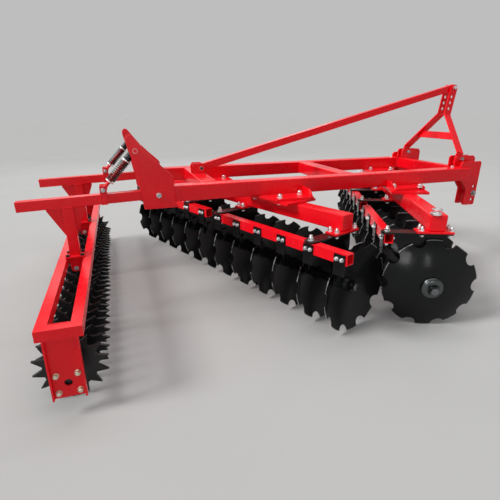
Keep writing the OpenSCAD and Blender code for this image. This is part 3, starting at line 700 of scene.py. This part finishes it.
def shaft_ends():
    """At one end of each section, the right one in front and the left one behind, a domed washer,
    whose radius and height follow a quarter ellipse with its cosine and sine raised to 0.7, and at
    both ends a square nut and the shaft's thread. Each foot is measured from the dish beside it."""
    cap_foot, nut_foot, tip_foot = 0.005, 0.0225, 0.0555
    far_nut_foot, far_tip_foot = 0.0175, 0.0505
    cap_radius, cap_height, square_off = 0.066, 0.0235, 0.7
    nut_flats, nut_side, nut_height, nut_crown = 0.0508, 0.0305, 0.0335, 0.0285
    thread, thread_pitch = 0.0222, 0.003
    turn = np.linspace(0, np.pi / 2, 12)[:-1]
    dome = turned(np.stack([cap_radius * np.cos(turn) ** square_off,
        cap_height * np.sin(turn) ** square_off], axis=1), sides=36)
    corner = nut_flats / 2 * np.sqrt(2)
    square = turned([(corner, 0), (corner, nut_side), (nut_crown, nut_height)], nut_flats,
        sides=48, corners=4)
    tip = thread_end(thread, length=0.0125, pitch=thread_pitch)
    far_tip = thread_end(thread, length=0.0185, pitch=thread_pitch)
    for name, gang, first, way in (("front_right", front, 0, 1),
            ("front_left", front, SECTION_DISCS, 1),
            ("rear_right", rear, SECTION_DISCS - 1, -1),
            ("rear_left", rear, DISC_COUNT - 1, -1)):
        capped = gang.disc(first)
        plain = capped + way * (SECTION_DISCS - 1) * DISC_PITCH
        body = "gang_" + name
        cap = stamped(dome, [gang.on_shaft(capped, -way, cap_foot)])
        mesh_piece("cap_" + name, cap, HUB, body, smooth=40.0)
        nuts = stamped(square, [gang.on_shaft(capped, -way, nut_foot, np.pi / 4),
            gang.on_shaft(plain, way, far_nut_foot, np.pi / 4)])
        mesh_piece("nuts_" + name, nuts, HUB, body)
        tips = joined(stamped(tip, [gang.on_shaft(capped, -way, tip_foot)]),
            stamped(far_tip, [gang.on_shaft(plain, way, far_tip_foot)]))
        mesh_piece("tips_" + name, tips, TIP, body)


def rod_lines():
    """The foot of each spring rod's middle line, with the line's direction."""
    feet, heads = mirrored(ROD_FOOT), mirrored(ROD_HEAD)
    return [(foot, (head - foot) / np.linalg.norm(head - foot))
        for (foot, _), (head, _) in zip(feet, heads)]


def on_rods(part, height):
    """The part on each spring rod, at a height over the rod's lower pin."""
    spin = 0.3
    return stamped(part, [(foot + height * rise, rise, spin) for foot, rise in rod_lines()])


def rod_fittings():
    """Plated washers under and over each spring, the rod's nut and thread at its top, and the
    black bush, with a neck at half its height, over the spring."""
    seat = washer(radius=0.027, thickness=0.008)
    plated = joined(on_rods(seat, LOWER_WASHER), on_rods(seat, UPPER_WASHER),
        on_rods(hex_head(flats=0.034, height=0.014), ROD_NUT),
        on_rods(thread_end(radius=0.0113, length=0.006, pitch=0.0025), ROD_TIP))
    piece = mesh_piece("rod_washers", plated, ZINC)
    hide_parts("spring_seats")
    bush = turned([(0.020, 0), (0.022, 0.002), (0.022, 0.014), (0.0205, 0.016), (0.0205, 0.030),
        (0.022, 0.032), (0.022, 0.046), (0.020, 0.048)], sides=28)
    mesh_piece("rod_bushes", on_rods(bush, BUSH), BLACK)


def spring_coils():
    """Round wire on a helix round each rod. At a turn t the wire's middle is the rod's place at
    that height plus the radius times cos t sideways minus sin t across, and the wire's section is
    a circle in the plane of that spoke and the rod. The height's share of the spring is the turn's
    share less 0.018 times its full sine, so the end turns close up."""
    turns, per_turn, ring = 12, 24, 10
    radius, wire, closing = 0.0236, 0.0034, 0.018
    side = np.array([0, 1.0, 0])
    share = np.linspace(0, 1, turns * per_turn + 1)
    turn = 2 * np.pi * turns * share
    height = SPRING_LOW + SPRING_LENGTH * (share - closing * np.sin(2 * np.pi * share))
    angle = np.arange(ring) * 2 * np.pi / ring
    wires = []
    for foot, rise in rod_lines():
        across = np.cross(side, rise)
        spoke = np.cos(turn)[:, None] * side - np.sin(turn)[:, None] * across
        middle = foot + height[:, None] * rise + radius * spoke
        section = (np.cos(angle)[None, :, None] * spoke[:, None]
            + np.sin(angle)[None, :, None] * rise)
        points, faces = closed_skin(middle[:, None] + wire * section)
        wires.append((points, [face[::-1] for face in faces]))
    piece = mesh_piece("spring_coils", joined(*wires), SPRING, smooth=60.0)
    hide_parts("springs")


def weld_beads():
    """Beads where the tubes, plates and posts of the frame meet. They stop short of corners and
    lie a little sunk below the edges that they run along."""
    inner, outer = BEAM_Y - BEAM_SIZE / 2, BEAM_Y + BEAM_SIZE / 2
    stop, sunk, clamp_half, arm_fall = 0.006, 0.002, 0.140, 0.0018
    lines = []

    def line(start, end):
        """The same bead on both sides of the machine."""
        lines.extend((low, high) for (low, _), (high, _) in zip(mirrored(start), mirrored(end)))

    # The rear, middle and front cross tubes between the frame beams
    for faces in CROSS_TUBES:
        for x in faces:
            line((x, inner, BEAM_BOTTOM + stop), (x, inner, BEAM_TOP - stop))
        for z in (BEAM_TOP - sunk, BEAM_BOTTOM + 2 * sunk):
            line(*[(x, inner, z) for x in faces])

    # The link plates, and the side plates on the beams' rear ends
    line((LINK_PLATE_REAR, inner, LINK_PLATE_LOW), (LINK_PLATE_REAR, inner, BEAM_TOP - 2 * sunk))
    for y in (outer, inner):
        line((SIDE_PLATE_FRONT, y, BEAM_BOTTOM + stop), (SIDE_PLATE_FRONT, y, BEAM_TOP - stop))
        for x, z in ((SIDE_PLATE_REAR, BEAM_TOP - sunk),
                (SIDE_PLATE_REAR + sunk, BEAM_BOTTOM + sunk)):
            line((x, y, z), (SIDE_PLATE_FRONT - sunk, y, z))

    # The upper clamp plates under the frame beams
    for gang in (front, rear):
        for crossing in gang.crossings:
            middle = gang.at(0, crossing, BEAM_BOTTOM)
            for y in (-BEAM_SIZE / 2, BEAM_SIZE / 2):
                lines.append((middle + [-clamp_half, y, 0], middle + [clamp_half, y, 0]))

    # The roller posts' gussets: under the arms, which fall towards the front, and on the posts
    for y in (BEAM_Y - GUSSET_HALF, BEAM_Y + GUSSET_HALF):
        for ends in GUSSET_TOPS:
            line(*[(ROLLER_X + x, y, ARM_BOTTOM + rise) for x, rise in ends])
        for x, top in ((-POST_HALF, ARM_BOTTOM), (POST_HALF, ARM_BOTTOM - sunk)):
            line((ROLLER_X + x, y, GUSSET_LOW), (ROLLER_X + x, y, top))

    # The posts on their plates and under the arms, and the plates on the roller frame
    for a in (-POST_HALF, POST_HALF):
        line((ROLLER_X + a, BEAM_Y - POST_HALF, POST_PLATE_TOP),
            (ROLLER_X + a, BEAM_Y + POST_HALF, POST_PLATE_TOP))
        line((ROLLER_X - POST_HALF, BEAM_Y + a, POST_PLATE_TOP),
            (ROLLER_X + POST_HALF, BEAM_Y + a, POST_PLATE_TOP))
        line((ROLLER_X - POST_HALF, BEAM_Y + a, ARM_BOTTOM),
            (ROLLER_X + POST_HALF, BEAM_Y + a, ARM_BOTTOM - arm_fall))
    plate_x, plate_y = POST_PLATE
    for a in (-plate_x, plate_x):
        line((ROLLER_X + a, BEAM_Y - plate_y, RAIL_TOP), (ROLLER_X + a, BEAM_Y + plate_y, RAIL_TOP))

    # The roller frame's end plates and end rails
    edge_x, outside, inside, height = END_PLATE_EDGE
    for a in (-edge_x, edge_x):
        line((ROLLER_X + a, outside, height), (ROLLER_X + a, inside, height))
    rail_x, rail_y = END_RAIL
    line((ROLLER_X - rail_x, rail_y, RAIL_TOP - sunk), (ROLLER_X + rail_x, rail_y, RAIL_TOP - sunk))

    # The brace's lug on the rear cross tube
    for y in BRACE_LUG_FACES:
        line(*[(x, y, BEAM_TOP) for x in BRACE_LUG_SPAN])
    mesh_piece("weld_beads", weld(lines), RED, smooth=50.0)


def standing(x_axis, y_axis, z_axis, place):
    """The matrix of something at the place whose X, Y and Z point along the given directions."""
    matrix = np.eye(4)
    for column, direction in enumerate((x_axis, y_axis, z_axis, place)):
        matrix[:3, column] = direction
    return Matrix(matrix.tolist())


def looking(place, target):
    """A matrix at the place whose -Z points at the target."""
    return standing(*basis(place - target), place)


def pale_floor():
    """A dull floor whose pale grey drifts a little."""
    mesh = bpy.data.meshes.new("floor")
    size = 60.0
    mesh.from_pydata([(-size, -size, 0), (size, -size, 0), (size, size, 0), (-size, size, 0)], [],
        [(0, 1, 2, 3)])
    material, tree, shader = new_material("pale_floor")
    cloud = ranged(tree, noise(tree, scale=1.2, detail=6.0, roughness=0.6), 0.35, 0.65)
    grey = mixed(tree, cloud, (0.445, 0.445, 0.442), (0.43, 0.43, 0.427))
    tree.links.new(grey, shader.inputs["Base Color"])
    shader.inputs["Roughness"].default_value = 1.0
    shader.inputs["Specular IOR Level"].default_value = 0.0
    mesh.materials.append(material)
    floor = placed("floor", mesh)


def studio_sky():
    """A grey world that is as pale as the floor below and at the horizon, darker above it and
    bright overhead. Each stop is the sine of the height and a grey level."""
    world = bpy.data.worlds.new("studio")
    bpy.context.scene.world = world
    world.use_nodes = True
    tree = world.node_tree
    ramp = tree.nodes.new("ShaderNodeValToRGB")
    ramp.color_ramp.interpolation = "EASE"
    stops = ramp.color_ramp.elements
    for position, level in ((0.0, 0.344), (0.32, 0.344), (0.52, 0.16), (0.74, 0.34), (0.9, 0.75)):
        stop = stops[0] if position == 0 else stops.new(position)
        stop.color = (level, level, level, 1.0)
    stops.remove(stops[-1])
    background = tree.nodes["Background"]
    height = height_of(tree, "ShaderNodeTexCoord", "Generated")
    tree.links.new(height, ramp.inputs["Fac"])
    tree.links.new(ramp.outputs["Color"], background.inputs["Color"])
    background.inputs["Strength"].default_value = 1.5


def lamps():
    """A wide soft sun from over the roller, strips over the gangs, a door on the machine's far
    side, and two tall windows that the near dish mirrors. Each area lamp is a name, a place, a
    target, a width, a length and a power in watts."""
    sun = bpy.data.lights.new("door_sun", "SUN")
    sun.energy = 2.45
    sun.angle = np.radians(18)
    sun.color = (1.0, 0.99, 0.97)
    placed("door_sun", sun).matrix_world = looking(np.array([-5.0, -0.4, 5.0]),
        np.array([0.0, 0.0, 0.4]))
    disc = front.at(0, front.first, 0.45)
    window_distance = 5.0
    left_window = disc + window_distance * np.array([-0.62, -0.76, 0.20])
    right_window = disc + window_distance * np.array([-0.20, -0.97, 0.17])
    for name, place, target, width, length, power in (
            ("roof_strip_rear", (-1.6, 0.6, 5.2), (-0.64, 0.0, 0.4), 0.5, 5.0, 20.0),
            ("roof_strip_front", (1.9, 0.6, 5.2), (0.76, 0.0, 0.4), 0.5, 5.0, 20.0),
            ("far_door", (0.3, 7.0, 4.2), (0.0, 0.0, 0.8), 7.0, 3.2, 75.0),
            ("window_left", left_window, disc, 1.1, 1.3, 30.0),
            ("window_right", right_window, disc, 0.18, 1.2, 8.0)):
        strip = bpy.data.lights.new(name, "AREA")
        strip.shape = "RECTANGLE"
        strip.size, strip.size_y = width, length
        strip.energy = power
        holder = placed(name, strip)
        holder.visible_camera = False
        holder.visible_diffuse = not name.startswith("window")
        holder.matrix_world = looking(np.array(place, float), np.array(target, float))


def camera():
    """The camera, turned about Z, tilted down and rolled as the photograph's was."""
    turn, tilt, roll = np.radians([CAMERA_TURN, CAMERA_TILT, CAMERA_ROLL])
    ahead = np.array([np.sin(turn) * np.cos(tilt), np.cos(turn) * np.cos(tilt), -np.sin(tilt)])
    level = np.array([np.cos(turn), -np.sin(turn), 0.0])
    upright = np.cross(level, ahead)
    right = np.cos(roll) * level + np.sin(roll) * upright
    up = np.cos(roll) * upright - np.sin(roll) * level
    data = bpy.data.cameras.new("camera")
    data.lens = CAMERA_LENS
    data.sensor_width = 36.0
    data.clip_start = 0.05
    holder = placed("camera", data)
    holder.matrix_world = standing(right, up, -ahead, row(*CAMERA_PLACE))
    bpy.context.scene.camera = holder


camera()
pale_floor()
studio_sky()
lamps()
finish_nodes()
clamp_bolts()
foot_bolts()
bar_bolts()
bracket_bolts()
mast_bolts()
link_pins()
arm_bolts()
beam_bolts()
roller_bolts()
shaft_ends()
rod_fittings()
spring_coils()
weld_beads()

bpy.context.scene.view_settings.view_transform = "Standard"
